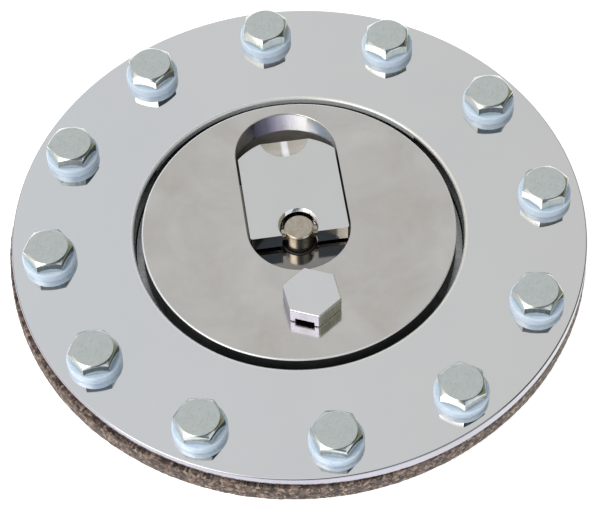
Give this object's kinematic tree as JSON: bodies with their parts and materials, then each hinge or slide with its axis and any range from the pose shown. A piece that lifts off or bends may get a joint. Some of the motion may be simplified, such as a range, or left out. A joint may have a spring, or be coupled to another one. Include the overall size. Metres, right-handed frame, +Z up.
{
  "type": "blind flange with flush filler cap",
  "caption": "Round bolted blind flange closed by a flush expanding cap, with a fold-down lever in a pocket and a hexagon vent screw.",
  "frame": {"origin": "on the flange's axis at the neck's lower end, which is the lowest point", "axes": "+Z up along the flange's axis, +Y from the spindle towards the lever's free end, +X to the right of it"},
  "size_m": [0.1426, 0.1426, 0.0376],
  "materials": {
    "polished_flange": "mirror polished",
    "polished_cap": "polished, slightly warm and stained",
    "lever_metal": "fine satin",
    "vent_metal": "bright satin",
    "nickel_plate": "warm nickel plate",
    "zinc_plate": "zinc plated, yellowish",
    "plain_steel": "machined",
    "spring_steel": "bright drawn",
    "nylon": "translucent white",
    "cork_rubber": "speckled brown and black",
    "black_rubber": "matt"
  },
  "bodies": {
    "flange": {"flange_ring": "polished_flange", "gasket": "cork_rubber", "nut_ring": "plain_steel", "bolt_01": "zinc_plate", "bolt_02": "zinc_plate", "bolt_03": "zinc_plate", "bolt_04": "zinc_plate", "bolt_05": "zinc_plate", "bolt_06": "zinc_plate", "bolt_07": "zinc_plate", "bolt_08": "zinc_plate", "bolt_09": "zinc_plate", "bolt_10": "zinc_plate", "bolt_11": "zinc_plate", "bolt_12": "zinc_plate", "washer_01": "nylon", "washer_02": "nylon", "washer_03": "nylon", "washer_04": "nylon", "washer_05": "nylon", "washer_06": "nylon", "washer_07": "nylon", "washer_08": "nylon", "washer_09": "nylon", "washer_10": "nylon", "washer_11": "nylon", "washer_12": "nylon"},
    "cap": {"cap_disc": "polished_cap", "spindle_seal": "black_rubber", "vent_screw": "vent_metal", "vent_retainer": "plain_steel", "vent_spring": "spring_steel", "expander_ring": "black_rubber", "release_spring": "spring_steel"},
    "spindle": {"spindle": "nickel_plate", "cross_pin": "nickel_plate", "pressure_plate": "polished_cap", "plate_washer": "zinc_plate", "adjusting_nut": "zinc_plate"},
    "lever": {"lever": "lever_metal"},
    "vent_ball": {"vent_ball": "spring_steel"}
  },
  "joints": [
    {"name": "cap_lift", "type": "slide", "parent": "flange", "child": "cap", "axis": [0, 0, 1], "range_m": [0, 0.06]},
    {"name": "spindle_drop", "type": "slide", "parent": "cap", "child": "spindle", "axis": [0, 0, -1], "range_m": [0, 0.0008], "deforming": ["expander_ring", "release_spring"]},
    {"name": "lever_flip", "type": "hinge", "parent": "spindle", "child": "lever", "pos_m": [0, 0, 0.03005], "axis": [1, 0, 0], "range_deg": [0, 90]},
    {"name": "vent_ball_drop", "type": "slide", "parent": "cap", "child": "vent_ball", "axis": [0, 0, -1], "range_m": [0, 0.0012], "stiffness_N_per_m": 20, "springref_m": -0.002, "deforming": ["vent_spring"]}
  ],
  "couplings": [
    {"joint": "lever_flip", "follows": "spindle_drop", "rad_per_m": 1963.5}
  ]
}
